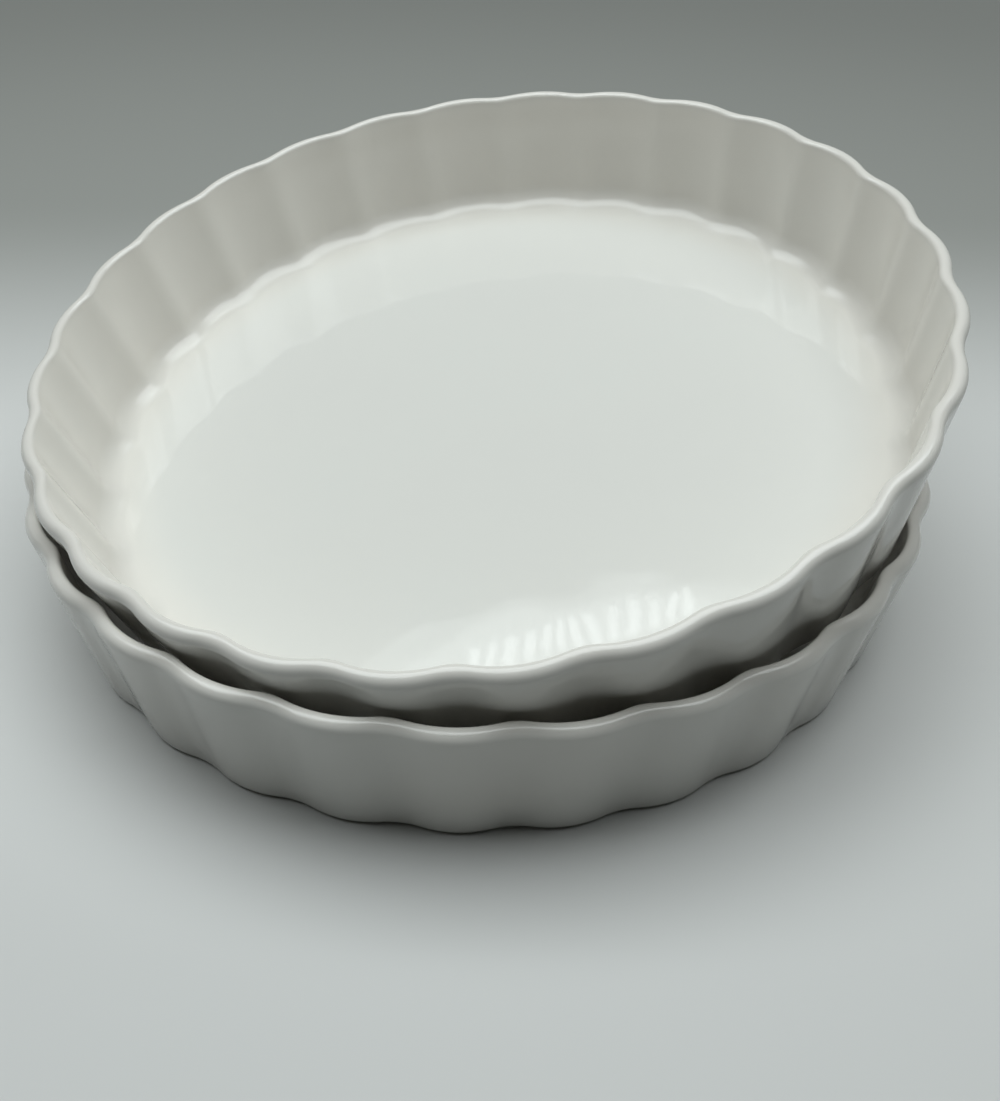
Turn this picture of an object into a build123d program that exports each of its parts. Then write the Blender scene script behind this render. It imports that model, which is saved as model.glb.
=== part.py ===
# Fluted quiche dish: two identical dishes of glazed white porcelain. The lower one stands on its
# foot ring. The upper one lies crooked inside it, with its flutes out of step with the lower
# dish's, so it rides high on the wall instead of nesting level.
# Origin: middle of the lower dish's foot, on the table. +Z points up out of the dishes.
from build123d import *
import math
import os

os.makedirs("parts", exist_ok=True)

# One dish
rim_diameter = 254.0  # at the lip, halfway between flute crests and valleys
foot_diameter = 238.8  # where the outer wall would meet the table, measured the same way
dish_height = 40.0
wall_thickness = 4.2
floor_thickness = 5.0

# Flutes: round crests and valleys outside, wide panels between narrow ridges inside
flute_count = 28
flute_depth = 1.8
outer_crest_share = 0.54  # how much of a flute's turn each crest arc takes, the valley arc the rest
inner_panel_share = 0.70

# Roundings and the foot
floor_corner_radius = 9.0
foot_edge_radius = 2.0
foot_ring_width = 6.0
foot_ring_inset = 3.2
foot_recess = 1.2
recess_corner_radius = 0.8
lip_share = 0.43  # lip rounding on each side, of the wall thickness

# How the upper dish lies in the lower one
nest_clearance = 0.3
upper_shift_x = 5.3
upper_shift_y = 7.5
upper_tip_x = 9.13  # degrees about X, then about Y, then the turn of its flutes
upper_tip_y = -7.30
upper_turn = 5.27
lower_turn = -1.2

overrun = 2.0  # how far a cutting solid runs past the face it opens
samples_per_flute = 24
wall_samples = 16
foot_edge_samples = 5
halvings = 16

rim_radius = rim_diameter / 2
foot_radius = foot_diameter / 2
draft_slope = (rim_radius - foot_radius) / dish_height
draft = math.degrees(math.atan(draft_slope))
half_flute = math.pi / flute_count
cavity_radius = foot_radius + draft_slope * floor_thickness - wall_thickness / math.cos(math.radians(draft))
recess_radius = foot_radius - foot_ring_inset - foot_ring_width


def flute_arcs(mean_radius, crest_share):
    """Centre distance and radius of the crest arc, then of the valley arc, of a fluted outline.

    The crest arc lies on one side of the line between the two centres, the valley arc on the
    other, and each runs into the next without a kink.
    """
    crest_top = mean_radius + flute_depth / 2
    valley_floor = mean_radius - flute_depth / 2
    valley_share = 1 - crest_share
    closeness = math.cos(half_flute)
    square = 2 * crest_share * valley_share * (1 - closeness)
    linear = crest_top * (crest_share + closeness * valley_share)
    linear -= valley_floor * (valley_share + closeness * crest_share)
    apart = crest_top**2 + valley_floor**2 - 2 * closeness * crest_top * valley_floor
    both_radii = (math.sqrt(linear**2 + square * apart) - linear) / square
    crest_radius = crest_share * both_radii
    valley_radius = valley_share * both_radii
    return crest_top - crest_radius, crest_radius, valley_floor + valley_radius, valley_radius


def joint_point(crest_centre, crest_radius, valley_centre, valley_radius):
    """Polar angle and radius of the point where the crest arc runs into the valley arc."""
    share = crest_radius / (crest_radius + valley_radius)
    x = crest_centre + (valley_centre * math.cos(half_flute) - crest_centre) * share
    y = valley_centre * math.sin(half_flute) * share
    return math.atan2(y, x), math.hypot(x, y)


def wall_radius(angle, mean_radius, crest_share):
    """Radius at an angle of a fluted wall, which has a crest at angle zero."""
    crest_centre, crest, valley_centre, valley = flute_arcs(mean_radius, crest_share)
    off_crest = abs((angle + half_flute) % (2 * half_flute) - half_flute)
    if off_crest < joint_point(crest_centre, crest, valley_centre, valley)[0]:
        sideways = crest_centre * math.sin(off_crest)
        return crest_centre * math.cos(off_crest) + math.sqrt(crest**2 - sideways**2)
    sideways = valley_centre * math.sin(half_flute - off_crest)
    return valley_centre * math.cos(half_flute - off_crest) - math.sqrt(valley**2 - sideways**2)


def outside_points():
    """Points over the outside of a dish that can touch another one, in the dish's own frame."""
    for step in range(flute_count * samples_per_flute):
        angle = 2 * half_flute * step / samples_per_flute
        for level in range(wall_samples + 1):
            height = foot_edge_radius + (dish_height - foot_edge_radius) * level / wall_samples
            radius = wall_radius(angle, foot_radius + draft_slope * height, outer_crest_share)
            yield Vector(radius * math.cos(angle), radius * math.sin(angle), height)
        foot = wall_radius(angle, foot_radius, outer_crest_share) - foot_edge_radius
        for level in range(foot_edge_samples):
            bend = math.pi / 2 * level / foot_edge_samples
            radius = foot + foot_edge_radius * math.sin(bend)
            height = foot_edge_radius * (1 - math.cos(bend))
            yield Vector(radius * math.cos(angle), radius * math.sin(angle), height)


def clear_height(point):
    """Lowest height at which a point at this place is clear of the lower dish's inside."""
    reach = math.hypot(point.X, point.Y) + nest_clearance / math.cos(math.radians(draft))
    angle = math.atan2(point.Y, point.X) - math.radians(lower_turn)
    low = floor_thickness + nest_clearance
    high = dish_height + nest_clearance
    rim_level_radius = cavity_radius + draft_slope * (high - floor_thickness)
    if wall_radius(angle, rim_level_radius, inner_panel_share) < reach:
        return high
    for _ in range(halvings):
        middle = (low + high) / 2
        rise = middle - floor_thickness
        wall = wall_radius(angle, cavity_radius + draft_slope * rise, inner_panel_share)
        under_fillet = max(floor_corner_radius - rise, 0)
        corner = floor_corner_radius - math.sqrt(floor_corner_radius**2 - under_fillet**2)
        if wall - corner < reach:
            low = middle
        else:
            high = middle
    return high


def seat_height(tip):
    """Height of the upper dish's foot at which it comes to lie on the lower dish."""
    lift = 0.0
    for point in outside_points():
        placed = tip.from_local_coords(point)
        lift = max(lift, clear_height(placed) - placed.Z)
    return lift


def build_dish(seat):
    """One dish on the plane of its foot, with a flute crest on the plane's X direction."""
    axis = Axis(seat.origin, seat.z_dir)
    outside = (0, dish_height, foot_radius, outer_crest_share)
    inside = (floor_thickness, dish_height + overrun, cavity_radius, inner_panel_share)
    with BuildPart() as dish:
        for low, high, low_radius, crest_share in (outside, inside):
            for level in (low, high):
                mean_radius = low_radius + draft_slope * (level - low)
                joint_angle, joint_radius = joint_point(*flute_arcs(mean_radius, crest_share))
                crest_top = mean_radius + flute_depth / 2
                valley_floor = mean_radius - flute_depth / 2
                with BuildSketch(seat.offset(level)):
                    with BuildLine():
                        for flute in range(flute_count):
                            crest = 2 * half_flute * flute
                            valley = crest + half_flute
                            corners = (
                                (joint_radius, crest - joint_angle),
                                (crest_top, crest),
                                (joint_radius, crest + joint_angle),
                                (valley_floor, valley),
                                (joint_radius, valley + half_flute - joint_angle),
                            )
                            points = [(r * math.cos(a), r * math.sin(a)) for r, a in corners]
                            ThreePointArc(*points[:3])
                            ThreePointArc(*points[2:])
                    make_face()
            if low == 0:
                loft(ruled=True)
                fillet(dish.edges().group_by(axis)[0], foot_edge_radius)
            else:
                loft(ruled=True, mode=Mode.SUBTRACT)
                fillet(dish.faces(Select.LAST).sort_by(axis)[0].edges(), floor_corner_radius)
        fillet(dish.faces().sort_by(axis)[-1].edges(), lip_share * wall_thickness)
        with BuildSketch(seat):
            Circle(recess_radius)
        extrude(amount=foot_recess, mode=Mode.SUBTRACT)
        fillet(dish.faces(Select.LAST).sort_by(axis)[-1].edges(), recess_corner_radius)
    return dish


lower_seat = Plane(Location((0, 0, 0), (0, 0, lower_turn)))
lower_dish = build_dish(lower_seat)
lower_dish.part.label = "lower_dish"
export_step(lower_dish.part, "parts/lower_dish.step")

upper_tip = (upper_tip_x, upper_tip_y, upper_turn)
upper_level = seat_height(Plane(Location((upper_shift_x, upper_shift_y, 0), upper_tip)))
upper_seat = Plane(Location((upper_shift_x, upper_shift_y, upper_level), upper_tip))
upper_dish = build_dish(upper_seat)
upper_dish.part.label = "upper_dish"
export_step(upper_dish.part, "parts/upper_dish.step")
print(f"upper dish's foot at {upper_level:.2f} mm")
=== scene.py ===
"""A pair of fluted quiche dishes in white glazed porcelain, one lying crooked in the other.

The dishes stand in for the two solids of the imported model, in its frame and in metres. They are
lathed ring by ring, fluted column by column, glazed, and lit from above on a plain table.
"""
import logging
import math
from dataclasses import dataclass
from enum import Enum
from typing import Any, Iterator, Optional, Union

import bmesh
import bpy
from mathutils import Euler, Matrix, Vector


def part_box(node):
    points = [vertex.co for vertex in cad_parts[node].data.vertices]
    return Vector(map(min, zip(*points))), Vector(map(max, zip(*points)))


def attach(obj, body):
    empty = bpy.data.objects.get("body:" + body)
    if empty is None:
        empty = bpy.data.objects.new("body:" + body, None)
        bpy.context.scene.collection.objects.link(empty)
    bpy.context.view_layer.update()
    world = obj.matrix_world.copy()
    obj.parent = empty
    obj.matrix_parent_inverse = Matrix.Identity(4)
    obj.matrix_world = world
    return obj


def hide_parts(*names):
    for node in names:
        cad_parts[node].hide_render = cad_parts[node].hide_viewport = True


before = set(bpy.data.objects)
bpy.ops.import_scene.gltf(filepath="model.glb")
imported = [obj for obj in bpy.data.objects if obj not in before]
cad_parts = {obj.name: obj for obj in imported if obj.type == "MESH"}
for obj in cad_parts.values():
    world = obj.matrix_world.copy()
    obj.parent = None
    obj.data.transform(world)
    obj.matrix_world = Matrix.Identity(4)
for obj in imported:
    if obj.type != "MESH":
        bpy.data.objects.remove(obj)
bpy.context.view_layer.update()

log = logging.getLogger("quiche_dish")
Number = Union[float, "Signal"]

# Red, green and blue; a place in metres or a turn in degrees; two limits or two sides.
Colour = tuple[float, float, float]
Triple = tuple[float, float, float]
Span = tuple[float, float]


class Signal:
    """A number that varies over a surface: one output socket of a shader tree."""

    def __init__(self, sheet: "ShaderSheet", socket: bpy.types.NodeSocket) -> None:
        """Wraps a socket.

        Args:
            sheet: The shader tree that the socket belongs to.
            socket: The output socket that carries the number.
        """
        self.sheet = sheet
        self.socket = socket

    def _math(self, operation: str, first: Number, second: Number = 0.0) -> "Signal":
        """Adds a Math node.

        Args:
            operation: The Math node's operation.
            first: The first operand.
            second: The second operand, for operations that take two.

        Returns:
            The node's result.
        """
        node = self.sheet.node("ShaderNodeMath", {"operation": operation}, {0: first, 1: second})
        return Signal(self.sheet, node.outputs[0])

    def __add__(self, other: Number) -> "Signal":
        """Sum of the two."""
        return self._math("ADD", self, other)

    def __radd__(self, other: Number) -> "Signal":
        """Sum of the two, with the number first."""
        return self._math("ADD", other, self)

    def __sub__(self, other: Number) -> "Signal":
        """This less the other."""
        return self._math("SUBTRACT", self, other)

    def __rsub__(self, other: Number) -> "Signal":
        """The other less this."""
        return self._math("SUBTRACT", other, self)

    def __mul__(self, other: Number) -> "Signal":
        """Product of the two."""
        return self._math("MULTIPLY", self, other)

    def __rmul__(self, other: Number) -> "Signal":
        """Product of the two, with the number first."""
        return self._math("MULTIPLY", other, self)

    def above(self, low: float, high: float) -> "Signal":
        """Mask that rises smoothly from 0 to 1.

        Args:
            low: Where the mask leaves 0.
            high: Where it reaches 1.

        Returns:
            The mask.
        """
        settings = {"interpolation_type": "SMOOTHSTEP"}
        sockets = {"Value": self, "From Min": low, "From Max": high}
        node = self.sheet.node("ShaderNodeMapRange", settings, sockets)
        return Signal(self.sheet, node.outputs[0])


class ShaderSheet:
    """The node tree of one material, or of the world."""

    # A Mix node's two colours and its mixed colour go by number, because its socket names repeat.
    MIX_COLOURS = (6, 7)
    MIXED_COLOUR = 2

    def __init__(self, name: str, world: bool = False) -> None:
        """Makes an empty material or world.

        Args:
            name: Its name.
            world: Whether it is the world.
        """
        self.owner = (bpy.data.worlds if world else bpy.data.materials).new(name)
        self.owner.use_nodes = True
        self.output = "ShaderNodeOutputWorld" if world else "ShaderNodeOutputMaterial"
        self.tree = self.owner.node_tree
        self.tree.nodes.clear()

    def node(
        self,
        kind: str,
        settings: Optional[dict[str, Any]] = None,
        sockets: Optional[dict[Any, Any]] = None,
    ) -> bpy.types.Node:
        """Adds a node.

        Args:
            kind: The node's type, such as ShaderNodeMath.
            settings: The node's own settings, set before its sockets.
            sockets: Values or links of its inputs, by name or number.

        Returns:
            The node.
        """
        node = self.tree.nodes.new(kind)
        for name, value in (settings or {}).items():
            setattr(node, name, value)
        for name, value in (sockets or {}).items():
            if isinstance(value, Signal):
                value = value.socket
            if isinstance(value, bpy.types.NodeSocket):
                self.tree.links.new(value, node.inputs[name])
            else:
                node.inputs[name].default_value = value
        return node

    def number(self, node: bpy.types.Node, output: Union[int, str] = 0) -> Signal:
        """One of a node's outputs as a number."""
        return Signal(self, node.outputs[output])

    def blend(self, factor: Number, first: Any, second: Any) -> bpy.types.NodeSocket:
        """Mixes two colours.

        Args:
            factor: 0 for the first colour, 1 for the second.
            first: Colour or link.
            second: Colour or link.

        Returns:
            The mixed colour's socket.
        """
        node = self.node("ShaderNodeMix", {"data_type": "RGBA"}, {"Factor": factor})
        for number, value in zip(self.MIX_COLOURS, (first, second)):
            if isinstance(value, bpy.types.NodeSocket):
                self.tree.links.new(value, node.inputs[number])
            else:
                node.inputs[number].default_value = (*value, 1.0)
        return node.outputs[self.MIXED_COLOUR]

    def noise(self, where: bpy.types.NodeSocket, scale: float, detail: float) -> Signal:
        """Soft noise from 0 to 1.

        Args:
            where: Coordinates.
            scale: How many features there are to the metre.
            detail: How many octaves of finer noise it has.

        Returns:
            The noise.
        """
        sockets = {"Vector": where, "Scale": scale, "Detail": detail}
        return self.number(self.node("ShaderNodeTexNoise", None, sockets), "Fac")

    def finish(self, shader: bpy.types.Node) -> Union[bpy.types.Material, bpy.types.World]:
        """Joins the shader to the output.

        Args:
            shader: The surface or background shader.

        Returns:
            The finished material or world.
        """
        output = self.node(self.output)
        self.tree.links.new(shader.outputs[0], output.inputs["Surface"])
        return self.owner


@dataclass(frozen=True)
class Seat:
    """Where a dish stands: its foot's middle, and its turn in degrees about X, then Y, then Z."""

    place: Vector
    turn: Triple

    def rotation(self) -> Matrix:
        """The turn as a matrix, about the dish's own axes in turn."""
        return Euler([math.radians(angle) for angle in self.turn], "ZYX").to_matrix()

    def coordinates(self, sheet: ShaderSheet) -> bpy.types.NodeSocket:
        """Object coordinates in the dish's own frame.

        Args:
            sheet: The material that reads them.

        Returns:
            The coordinates' socket.
        """
        texture = sheet.node("ShaderNodeTexCoord")
        sockets = {
            "Vector": texture.outputs["Object"],
            "Location": self.place,
            "Rotation": self.rotation().to_euler(),
        }
        return sheet.node("ShaderNodeMapping", {"vector_type": "TEXTURE"}, sockets).outputs[0]


@dataclass(frozen=True)
class PorcelainGlaze:
    """Glossy white glaze: painted light on the inner wall, softer on the lip, bare on the foot."""

    body_white: Colour = (0.77, 0.766, 0.726)
    # A warm white that tints the glaze at random. It is also painted light: the inner wall is
    # painted in it, lighter than the body.
    warm_white_and_wall_light: Colour = (0.845, 0.808, 0.745)
    pooled_white: Colour = (0.755, 0.75, 0.715)
    lip_white: Colour = (0.78, 0.75, 0.70)
    biscuit: Colour = (0.70, 0.665, 0.60)
    gloss: float = 0.03
    uneven_gloss: float = 0.03
    lip_softness: float = 0.16
    corner_softness: float = 0.17
    corner_ring: Span = (0.1075, 0.1105)
    biscuit_roughness: float = 0.75
    index: float = 1.6
    ripple_size: float = 0.022
    ripple_octaves: float = 1.0
    peel_size: float = 0.0022
    peel_octaves: float = 2.0
    peel_share: float = 0.03
    bump_strength: float = 0.25
    bump_depth: float = 0.0006
    cloud_size: float = 0.07
    cloud_octaves: float = 4.0
    warm_clouds: Span = (0.3, 0.7)
    warm_share: float = 0.3
    pool_clouds: Span = (0.35, 0.65)
    pool_share: float = 0.6
    lip_share: float = 0.8
    # Where and how strongly the inner wall and the floor's outer edge are painted lighter, as
    # painted light.
    painted_wall_light_ring: Span = (0.097, 0.1155)
    painted_wall_light_share: float = 0.6
    painted_wall_light_cloud_share: float = 0.4
    inside_wall_share: float = 0.7
    outside_wall_share: float = 0.3
    corner_end_share: float = 1.6
    bare_levels: Span = (0.00035, 0.0007)

    def material(self, name: str, seat: Seat, dish: "FlutedDish") -> bpy.types.Material:
        """Makes the glaze for one dish.

        Args:
            name: The material's name.
            seat: Where the dish stands.
            dish: The dish, for the levels of its floor and lip.

        Returns:
            The material.
        """
        sheet = ShaderSheet(name)
        where = seat.coordinates(sheet)
        level = sheet.number(sheet.node("ShaderNodeSeparateXYZ", None, {0: where}), "Z")
        ripple = sheet.noise(where, 1 / self.ripple_size, self.ripple_octaves)
        peel = sheet.noise(where, 1 / self.peel_size, self.peel_octaves)
        clouds = sheet.noise(where, 1 / self.cloud_size, self.cloud_octaves)
        lip = level.above(dish.height - dish.lip_band, dish.height)
        reach = self.reach(sheet, where, level, dish)
        outside = reach.above(
            dish.foot_radius - self.inside_wall_share * dish.wall,
            dish.foot_radius - self.outside_wall_share * dish.wall,
        )
        # Painted light: the inner wall and the floor's outer edge get the lighter warm white,
        # unevenly over the clouds.
        uneven = self.painted_wall_light_share + self.painted_wall_light_cloud_share * clouds
        painted_wall_light = reach.above(*self.painted_wall_light_ring) * (1 - outside) * uneven
        corner_top = dish.floor + dish.corner_radius
        corner_end = dish.floor + self.corner_end_share * dish.corner_radius
        corner = reach.above(*self.corner_ring) * (1 - outside)
        corner = corner * (1 - level.above(corner_top, corner_end))
        pooled = (1 - level.above(dish.floor, corner_top)) * clouds.above(*self.pool_clouds)
        bare = 1 - level.above(*self.bare_levels)

        colour = sheet.blend(
            clouds.above(*self.warm_clouds) * self.warm_share, self.body_white, self.warm_white_and_wall_light
        )
        colour = sheet.blend(pooled * self.pool_share, colour, self.pooled_white)
        colour = sheet.blend(painted_wall_light, colour, self.warm_white_and_wall_light)
        colour = sheet.blend(lip * self.lip_share, colour, self.lip_white)
        colour = sheet.blend(bare, colour, self.biscuit)

        glazed = self.gloss + self.uneven_gloss * clouds
        glazed = glazed + self.lip_softness * lip + self.corner_softness * corner
        bump = sheet.node(
            "ShaderNodeBump",
            None,
            {
                "Strength": self.bump_strength,
                "Distance": self.bump_depth,
                "Height": ripple + peel * self.peel_share,
            },
        )
        shader = sheet.node(
            "ShaderNodeBsdfPrincipled",
            None,
            {
                "Base Color": colour,
                "Roughness": glazed * (1 - bare) + self.biscuit_roughness * bare,
                "IOR": self.index,
                "Normal": bump.outputs[0],
            },
        )
        return sheet.finish(shader)

    @staticmethod
    def reach(
        sheet: ShaderSheet, where: bpy.types.NodeSocket, level: Signal, dish: "FlutedDish"
    ) -> Signal:
        """Distance from the dish's axis, brought down along the lean of its wall to the foot.

        Args:
            sheet: The glaze's shader tree.
            where: Coordinates in the dish's own frame.
            level: Height over the foot.
            dish: The dish, for the lean of its wall.

        Returns:
            The distance, the same all the way up the wall.
        """
        sockets = {0: where, 1: (1.0, 1.0, 0.0)}
        flat = sheet.node("ShaderNodeVectorMath", {"operation": "MULTIPLY"}, sockets)
        out = sheet.node("ShaderNodeVectorMath", {"operation": "LENGTH"}, {0: flat.outputs[0]})
        return sheet.number(out, "Value") - level * dish.slope


@dataclass(frozen=True)
class Backdrop:
    """The plain grey that the camera, gloss and glass see far off, where the lamps don't reach."""

    grey: Colour = (0.215, 0.232, 0.222)

    @staticmethod
    def seen(sheet: ShaderSheet) -> Signal:
        """Mask of the rays that show the backdrop: 1 for camera, glossy and transmission rays.

        Args:
            sheet: The shader tree that reads it.

        Returns:
            The mask.
        """
        path = sheet.node("ShaderNodeLightPath")
        rays = sheet.number(path, "Is Camera Ray") + sheet.number(path, "Is Glossy Ray")
        return (rays + sheet.number(path, "Is Transmission Ray")).above(0.0, 1.0)


@dataclass(frozen=True)
class TablePaint:
    """Plain pale paper, with painted shadow in front of the dishes and painted shade further back.

    Further off it runs into the backdrop. Only camera, glossy and transmission rays see its colours
    and others see a darker one, so that it throws less light on the outside of the dishes.
    """

    near: Colour = (0.695, 0.695, 0.68)
    patch: Colour = (0.72, 0.72, 0.705)
    # Painted shade: the colour of the paper further back, where less light would reach it.
    far: Colour = (0.33, 0.335, 0.315)
    bounced: Colour = (0.47, 0.47, 0.46)
    # Painted shadow in front of the dishes: this colour with the front span, the span round the
    # foot and their two shares.
    shade: Colour = (0.50, 0.50, 0.49)
    # Where the painted shade further back begins and where it is full.
    far_shade_span: Span = (0.02, 0.27)
    front: Span = (-0.16, -0.06)
    contact_shadow: Span = (0.125, 0.165)
    edge: Span = (0.5, 1.2)
    front_shadow_share: float = 0.3
    contact_shadow_share: float = 0.5
    patch_size: float = 0.3
    patch_octaves: float = 2.0
    roughness: float = 0.6

    def material(self) -> bpy.types.Material:
        """Makes the paper.

        Returns:
            The table's material.
        """
        sheet = ShaderSheet("pale_paper")
        where = sheet.node("ShaderNodeTexCoord").outputs["Object"]
        back = sheet.number(sheet.node("ShaderNodeSeparateXYZ", None, {0: where}), "Y")
        away = sheet.node("ShaderNodeVectorMath", {"operation": "LENGTH"}, {0: where})
        patches = sheet.noise(where, 1 / self.patch_size, self.patch_octaves)
        colour = sheet.blend(patches, self.near, self.patch)
        # Painted shadow: the paper is darkened in front of the dishes, most close round their foot,
        # as their cast shadow.
        front = 1 - back.above(*self.front)
        contact_shadow = front * (1 - sheet.number(away, "Value").above(*self.contact_shadow))
        painted_shadow_mask = front * self.front_shadow_share + contact_shadow * self.contact_shadow_share
        colour = sheet.blend(painted_shadow_mask, colour, self.shade)
        # Painted shade: the paper darkens further back, where less light would reach it.
        colour = sheet.blend(back.above(*self.far_shade_span), colour, self.far)
        colour = sheet.blend(Backdrop.seen(sheet), self.bounced, colour)
        sockets = {"Base Color": colour, "Roughness": self.roughness}
        paper = sheet.node("ShaderNodeBsdfPrincipled", None, sockets)
        grey = sheet.node("ShaderNodeEmission", None, {"Color": (*Backdrop.grey, 1.0)})
        factor = sheet.number(away, "Value").above(*self.edge) * Backdrop.seen(sheet)
        sockets = {0: factor, 1: paper.outputs[0], 2: grey.outputs[0]}
        return sheet.finish(sheet.node("ShaderNodeMixShader", None, sockets))


class Side(Enum):
    """The two faces of a fluted wall, with the share of each flute that its crest arc takes."""

    INSIDE = 0.70
    OUTSIDE = 0.54


@dataclass(frozen=True)
class Ring:
    """One level ring of a dish: its mean radius, its height and how deep its flutes are."""

    radius: float
    height: float
    side: Side
    fluting: float


@dataclass(frozen=True)
class Corner:
    """A corner of a dish's section: where it is, how round, and the face that follows it."""

    radius: float
    height: float
    rounding: float
    steps: int
    side: Side
    fluting: float


@dataclass
class FlutedDish:
    """A shallow round porcelain dish with a fluted wall, lathed around its own upright axis."""

    name: str
    height: float
    rim_radius: float = 0.127
    foot_radius: float = 0.1194
    wall: float = 0.0042
    floor: float = 0.005
    flutes: int = 28
    flute_depth: float = 0.0018
    corner_radius: float = 0.007
    corner_steps: int = 9
    lip_inside: float = 0.0014
    lip_inside_steps: int = 5
    lip_outside: float = 0.0024
    lip_outside_steps: int = 7
    lip_band: float = 0.003
    foot_edge: float = 0.002
    foot_edge_steps: int = 5
    ring_inset: float = 0.0032
    ring_width: float = 0.006
    recess: float = 0.0012
    recess_edge: float = 0.0002
    recess_edge_steps: int = 2
    recess_rounding: float = 0.0008
    recess_steps: int = 4
    middle_share: float = 0.5
    floor_fluting_power: int = 3
    columns_per_flute: int = 20
    strip_margin: float = 1.01
    ring_spacing: float = 0.004
    weld: float = 0.00002

    @property
    def slope(self) -> float:
        """How far the wall leans out for each unit that it rises."""
        return (self.rim_radius - self.foot_radius) / self.height

    @property
    def half_flute(self) -> float:
        """Half of a flute's turn round the dish."""
        return math.pi / self.flutes

    @property
    def columns(self) -> int:
        """How many columns of faces go round the dish."""
        return self.flutes * self.columns_per_flute

    def section(self) -> list[Corner]:
        """Lists the corners of the dish's section.

        Returns:
            The corners, from the floor over the lip to the recess underneath.
        """
        thickness = self.wall * math.hypot(1.0, self.slope)
        floor = self.foot_radius + self.slope * self.floor - thickness
        lip = self.rim_radius - thickness
        recess = self.foot_radius - self.ring_inset - self.ring_width
        inside, outside = Side.INSIDE, Side.OUTSIDE
        return [
            Corner(floor, self.floor, self.corner_radius, self.corner_steps, inside, 1.0),
            Corner(lip, self.height, self.lip_inside, self.lip_inside_steps, inside, 1.0),
            Corner(
                self.rim_radius, self.height, self.lip_outside, self.lip_outside_steps, outside, 1.0
            ),
            Corner(self.foot_radius, 0.0, self.foot_edge, self.foot_edge_steps, outside, 1.0),
            Corner(recess, 0.0, self.recess_edge, self.recess_edge_steps, outside, 0.0),
            Corner(recess, self.recess, self.recess_rounding, self.recess_steps, outside, 0.0),
        ]

    def rings(self) -> Iterator[Ring]:
        """Works out the rings that the dish is lathed from.

        Yields:
            The rings, from the middle of the floor over the lip to the middle of the underside.
        """
        corners = self.section()
        first, last = corners[0], corners[-1]
        ends = (
            Corner(first.radius * self.middle_share, first.height, 0.0, 1, Side.INSIDE, 0.0),
            Corner(last.radius * self.middle_share, last.height, 0.0, 1, Side.OUTSIDE, 0.0),
        )
        path = [ends[0], *corners, ends[1]]
        yield Ring(ends[0].radius, ends[0].height, Side.INSIDE, 0.0)
        at = Vector((ends[0].radius, ends[0].height))
        for before, corner, after in zip(path, path[1:], path[2:]):
            here = Vector((corner.radius, corner.height))
            back = (Vector((before.radius, before.height)) - here).normalized()
            ahead = (Vector((after.radius, after.height)) - here).normalized()
            half = back.angle(ahead) / 2
            start = here + back * (corner.rounding / math.tan(half))
            end = here + ahead * (corner.rounding / math.tan(half))
            centre = here + (back + ahead).normalized() * (corner.rounding / math.sin(half))
            gap = (start - at).length
            runs = max(1, round(gap / self.ring_spacing))
            for step in range(1, runs):
                point = at.lerp(start, step / runs)
                fluting = corner.fluting * self.fluting_between(before, corner, step / runs)
                yield Ring(point.x, point.y, corner.side, fluting)
            turn = math.copysign(math.pi - 2 * half, (start - centre).cross(end - centre))
            for step in range(corner.steps + 1):
                point = centre + Matrix.Rotation(turn * step / corner.steps, 2) @ (start - centre)
                yield Ring(point.x, point.y, corner.side, corner.fluting)
            at = point
        yield Ring(ends[1].radius, ends[1].height, Side.OUTSIDE, 0.0)

    def fluting_between(self, before: Corner, corner: Corner, share: float) -> float:
        """Share of the flutes between two corners: whole on a wall, growing outwards on a floor."""
        return 1.0 if before.fluting and corner.fluting else share**self.floor_fluting_power

    def flute_offset(self, ring: Ring, angle: float) -> float:
        """How far a point of a ring stands out from the ring's mean radius.

        The outline is a crest arc and a valley arc that meet without a kink.

        Args:
            ring: The ring.
            angle: Angle from the nearest crest.

        Returns:
            The offset, positive outwards.
        """
        closeness = math.cos(self.half_flute)
        crest, valley = ring.side.value, 1 - ring.side.value
        top = ring.radius + self.flute_depth / 2
        bottom = ring.radius - self.flute_depth / 2
        square = 2 * crest * valley * (1 - closeness)
        linear = top * (crest + closeness * valley) - bottom * (valley + closeness * crest)
        apart = top**2 + bottom**2 - 2 * closeness * top * bottom
        both = (math.sqrt(linear**2 + square * apart) - linear) / square
        crest_centre, valley_centre = top - crest * both, bottom + valley * both
        joint_x = crest_centre + (valley_centre * closeness - crest_centre) * crest
        joint_y = valley_centre * math.sin(self.half_flute) * crest
        if angle < math.atan2(joint_y, joint_x):
            side = crest_centre * math.sin(angle)
            radius = crest_centre * math.cos(angle) + math.sqrt((crest * both) ** 2 - side**2)
        else:
            off_valley = self.half_flute - angle
            side = valley_centre * math.sin(off_valley)
            depth = math.sqrt((valley * both) ** 2 - side**2)
            radius = valley_centre * math.cos(off_valley) - depth
        return (radius - ring.radius) * ring.fluting

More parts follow.
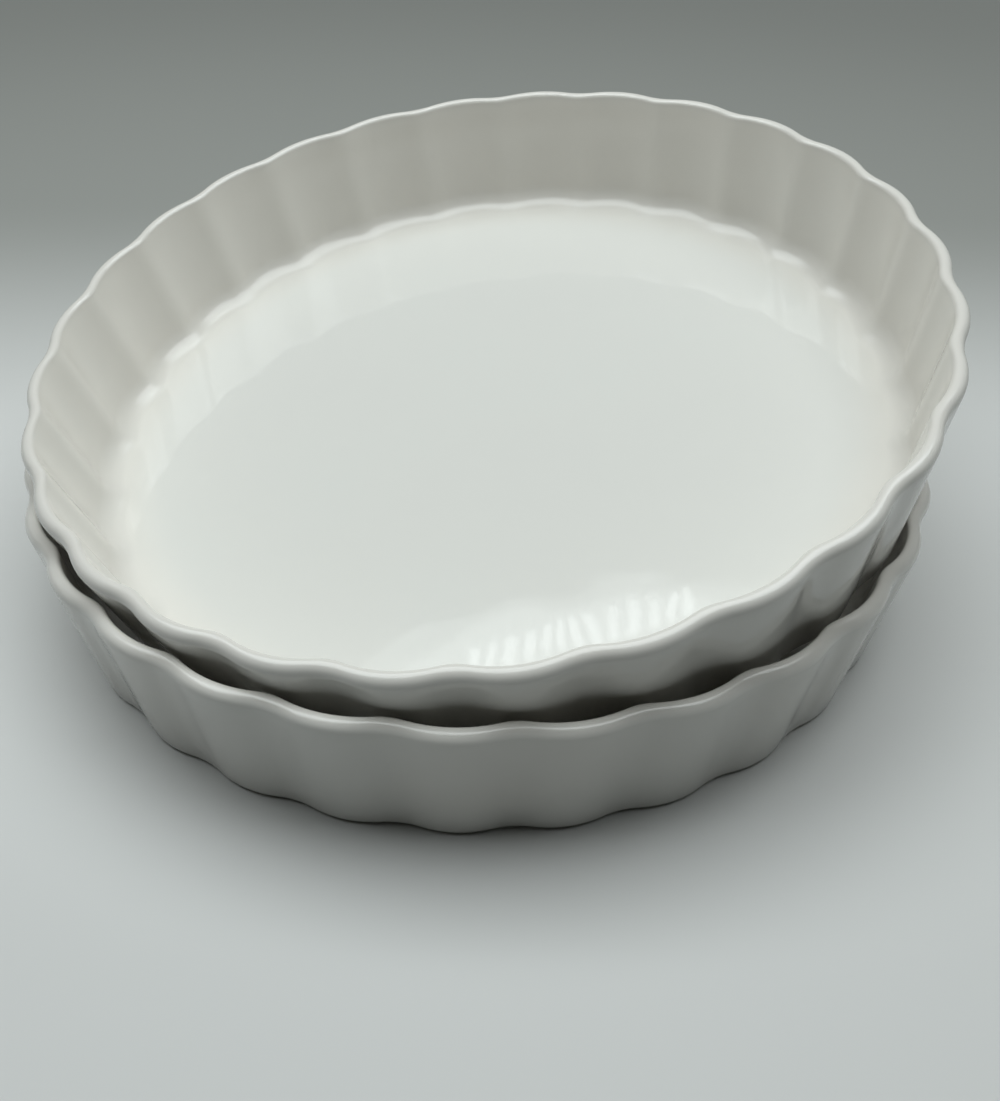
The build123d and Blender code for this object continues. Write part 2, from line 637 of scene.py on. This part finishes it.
    def lathe(self) -> bpy.types.Object:
        """Models one flute about the origin, from the floor over the lip to the underside.

        Returns:
            The flute's open strip, in edit mode.
        """
        rings = list(self.rings())
        bpy.ops.object.select_all(action="DESELECT")
        bpy.ops.mesh.primitive_circle_add(vertices=self.columns, radius=rings[0].radius)
        dish = bpy.context.active_object
        dish.name = dish.data.name = self.name
        bpy.ops.object.mode_set(mode="EDIT")
        bpy.ops.mesh.select_mode(type="VERT")
        bpy.ops.mesh.select_all(action="DESELECT")
        strip = self.half_flute * self.strip_margin
        mesh = bmesh.from_edit_mesh(dish.data)
        for vertex in mesh.verts:
            vertex.select = abs(math.atan2(vertex.co.y, vertex.co.x)) > strip
        mesh.select_flush(True)
        bpy.ops.mesh.delete(type="VERT")
        bpy.ops.mesh.select_all(action="SELECT")
        bpy.ops.transform.translate(value=(0.0, 0.0, rings[0].height))
        for before, ring in zip(rings, rings[1:]):
            rise = (0.0, 0.0, ring.height - before.height)
            bpy.ops.mesh.extrude_edges_move(TRANSFORM_OT_translate={"value": rise})
            grow = ring.radius / before.radius
            centre = (0.0, 0.0, ring.height)
            bpy.ops.transform.resize(value=(grow, grow, 1.0), center_override=centre)
        self.flute(dish, rings)
        return dish

    def flute(self, dish: bpy.types.Object, rings: list[Ring]) -> None:
        """Pushes each vertex of a flute's strip in or out, to crest, panels and ridges.

        Args:
            dish: The strip, in edit mode.
            rings: Its rings.
        """
        mesh = bmesh.from_edit_mesh(dish.data)
        for vertex in mesh.verts:
            here = (math.hypot(vertex.co.x, vertex.co.y), vertex.co.z)
            ring = min(rings, key=lambda ring: math.dist((ring.radius, ring.height), here))
            angle = abs(math.atan2(vertex.co.y, vertex.co.x))
            grow = 1 + self.flute_offset(ring, angle) / ring.radius
            vertex.co.x *= grow
            vertex.co.y *= grow
        bmesh.update_edit_mesh(dish.data)

    def close(self, dish: bpy.types.Object) -> None:
        """Copies the flute all the way round, fills the middle of both faces, and smooths the form.

        Args:
            dish: One flute's strip, in edit mode.
        """
        bpy.ops.mesh.select_all(action="SELECT")
        bpy.ops.mesh.spin(
            steps=self.flutes,
            dupli=True,
            angle=math.tau,
            center=(0.0, 0.0, 0.0),
            axis=(0.0, 0.0, 1.0),
        )
        bpy.ops.mesh.select_all(action="SELECT")
        bpy.ops.mesh.remove_doubles(threshold=self.weld)
        bpy.ops.mesh.fill_holes(sides=0)
        bpy.ops.mesh.select_all(action="SELECT")
        bpy.ops.mesh.normals_make_consistent(inside=False)
        bpy.ops.object.mode_set(mode="OBJECT")
        bpy.ops.object.shade_smooth()

    def build(self, seat: Seat) -> bpy.types.Object:
        """Models the dish and sets it in its place.

        Args:
            seat: Where it stands.

        Returns:
            The finished dish, with its object at the origin.
        """
        dish = self.lathe()
        self.close(dish)
        dish.rotation_mode = "QUATERNION"
        dish.rotation_quaternion = seat.rotation().to_quaternion()
        dish.location = seat.place
        bpy.ops.object.transform_apply(location=True, rotation=True, scale=True)
        dish.rotation_mode = "XYZ"
        return dish


@dataclass
class DishPair:
    """The lower dish, level on the table, and the upper dish, lying crooked in it."""

    lower_turn: Triple = (0.0, 0.0, -1.2)
    upper_turn: Triple = (9.13, -7.30, 5.27)
    upper_shift: Span = (0.0053, 0.0075)
    glaze: PorcelainGlaze = PorcelainGlaze()

    def build(self) -> None:
        """Builds both dishes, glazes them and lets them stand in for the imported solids."""
        foot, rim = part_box("lower_dish")
        height = rim.z - foot.z
        self.place("lower_dish", height, Seat(Vector((0.0, 0.0, foot.z)), self.lower_turn))
        upper = Seat(Vector((*self.upper_shift, 0.0)), self.upper_turn)
        level = self.upper_level(upper)
        self.place("upper_dish", height, Seat(Vector((*self.upper_shift, level)), self.upper_turn))

    def upper_level(self, seat: Seat) -> float:
        """Height of the middle of the upper dish's foot ring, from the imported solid.

        Args:
            seat: The upper dish's seat, at height zero.

        Returns:
            The height.
        """
        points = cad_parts["upper_dish"].data.vertices
        upright = seat.rotation().transposed()
        lowest = min((upright @ (vertex.co - seat.place)).z for vertex in points)
        return lowest / seat.rotation()[2][2]

    def place(self, node: str, height: float, seat: Seat) -> None:
        """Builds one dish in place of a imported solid.

        Args:
            node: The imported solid's name, which is also its body's.
            height: How high a dish stands.
            seat: Where it stands.
        """
        dish = FlutedDish(f"{node}_porcelain", height)
        piece = dish.build(seat)
        piece.data.materials.append(self.glaze.material(f"{node}_glaze", seat, dish))
        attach(piece, node)
        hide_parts(node)
        log.info("%s: %d faces", piece.name, len(piece.data.polygons))


class LampShape(Enum):
    """The outlines that a soft lamp can have."""

    RECTANGLE = "RECTANGLE"
    ELLIPSE = "ELLIPSE"


@dataclass(frozen=True)
class SoftLamp:
    """A soft lamp that shines straight down: its outline, place, two sides and watts."""

    shape: LampShape
    place: Triple
    size: Span
    power: float
    colour: Colour = (0.935, 1.0, 1.01)

    def hang(self, name: str) -> None:
        """Hangs the lamp in the scene.

        Args:
            name: The lamp's name.
        """
        light = bpy.data.lights.new(name, "AREA")
        light.shape = self.shape.value
        light.size, light.size_y = self.size
        light.energy = self.power
        light.color = self.colour
        lamp = bpy.data.objects.new(name, light)
        lamp.location = self.place
        bpy.context.scene.collection.objects.link(lamp)


@dataclass
class Studio:
    """Plain table, soft light from above and behind, and the camera of the photograph.

    Lamps that overlap hang at different levels, because in one plane they hide one another in the
    glaze.
    """

    table_width: float = 6.0
    softbox: SoftLamp = SoftLamp(LampShape.RECTANGLE, (-0.05, 0.06, 0.95), (1.5, 0.74), 10.7)
    glow: SoftLamp = SoftLamp(LampShape.ELLIPSE, (-0.12, 0.43, 0.945), (0.64, 0.22), 0.26)
    core: SoftLamp = SoftLamp(LampShape.ELLIPSE, (-0.12, 0.44, 0.94), (0.42, 0.16), 0.14)
    panes: int = 13
    pane_start: float = -0.242
    pane_spacing: float = 0.0208
    pane_back: float = 0.49
    pane_slant: float = 0.15
    pane_level: float = 0.93
    pane_size: Span = (0.0115, 0.045)
    pane_power: float = 0.0037
    room_dim: Colour = (0.006, 0.006, 0.005)
    room_light: Colour = (0.085, 0.087, 0.083)
    room_turn: Span = (-0.6, 0.4)
    backdrop_top: Span = (0.35, 0.55)
    image_width: float = 1000.0
    image_height: float = 1101.0
    focal_pixels: float = 1192.6
    middle_shift: Span = (9.6, 84.3)
    camera_place: Triple = (0.0095, -0.3025, 0.2202)
    camera_pitch: float = 40.82
    camera_roll: float = 0.855
    clip_start: float = 0.01

    def build(self) -> None:
        """Sets up the table, the lamps, the world and the camera."""
        self.table()
        self.softbox.hang("overhead_softbox")
        self.glow.hang("back_glow")
        self.core.hang("back_core")
        for number in range(self.panes):
            along = self.pane_start + number * self.pane_spacing
            place = (along, self.pane_back + self.pane_slant * along, self.pane_level)
            pane = SoftLamp(LampShape.RECTANGLE, place, self.pane_size, self.pane_power)
            pane.hang(f"back_pane_{number:02d}")
        self.world()
        self.camera()

    def table(self) -> None:
        """Adds the pale table top."""
        bpy.ops.object.select_all(action="DESELECT")
        bpy.ops.mesh.primitive_plane_add(size=self.table_width)
        table = bpy.context.active_object
        table.name = "table"
        table.data.materials.append(TablePaint().material())

    def world(self) -> None:
        """Fills the room with faint light, dimmer in front, and puts the backdrop at its foot."""
        sheet = ShaderSheet("room", world=True)
        direction = sheet.node("ShaderNodeTexCoord").outputs["Generated"]
        split = sheet.node("ShaderNodeSeparateXYZ", None, {0: direction})
        behind = sheet.number(split, "Y").above(*self.room_turn)
        colour = sheet.blend(behind, self.room_dim, self.room_light)
        low = 1 - sheet.number(split, "Z").above(*self.backdrop_top)
        colour = sheet.blend(low * Backdrop.seen(sheet), colour, Backdrop.grey)
        glow = sheet.node("ShaderNodeBackground", None, {"Color": colour})
        bpy.context.scene.world = sheet.finish(glow)

    def camera(self) -> None:
        """Sets up the camera as the photograph was taken."""
        camera = bpy.data.cameras.new("camera")
        longer = max(self.image_width, self.image_height)
        camera.lens = self.focal_pixels / longer * camera.sensor_width
        camera.shift_x = -self.middle_shift[0] / longer
        camera.shift_y = self.middle_shift[1] / longer
        camera.clip_start = self.clip_start
        holder = bpy.data.objects.new("camera", camera)
        holder.location = self.camera_place
        tip = Matrix.Rotation(math.pi / 2 - math.radians(self.camera_pitch), 3, "X")
        roll = Matrix.Rotation(math.radians(self.camera_roll), 3, "Z")
        holder.rotation_euler = (tip @ roll).to_euler()
        bpy.context.scene.collection.objects.link(holder)
        bpy.context.scene.camera = holder


def main() -> None:
    """Builds the dishes and the studio, and sets the Standard view transform."""
    logging.basicConfig(level=logging.INFO, format="%(name)s: %(message)s")
    DishPair().build()
    Studio().build()
    bpy.context.scene.view_settings.view_transform = "Standard"


if __name__ == "__main__":
    main()
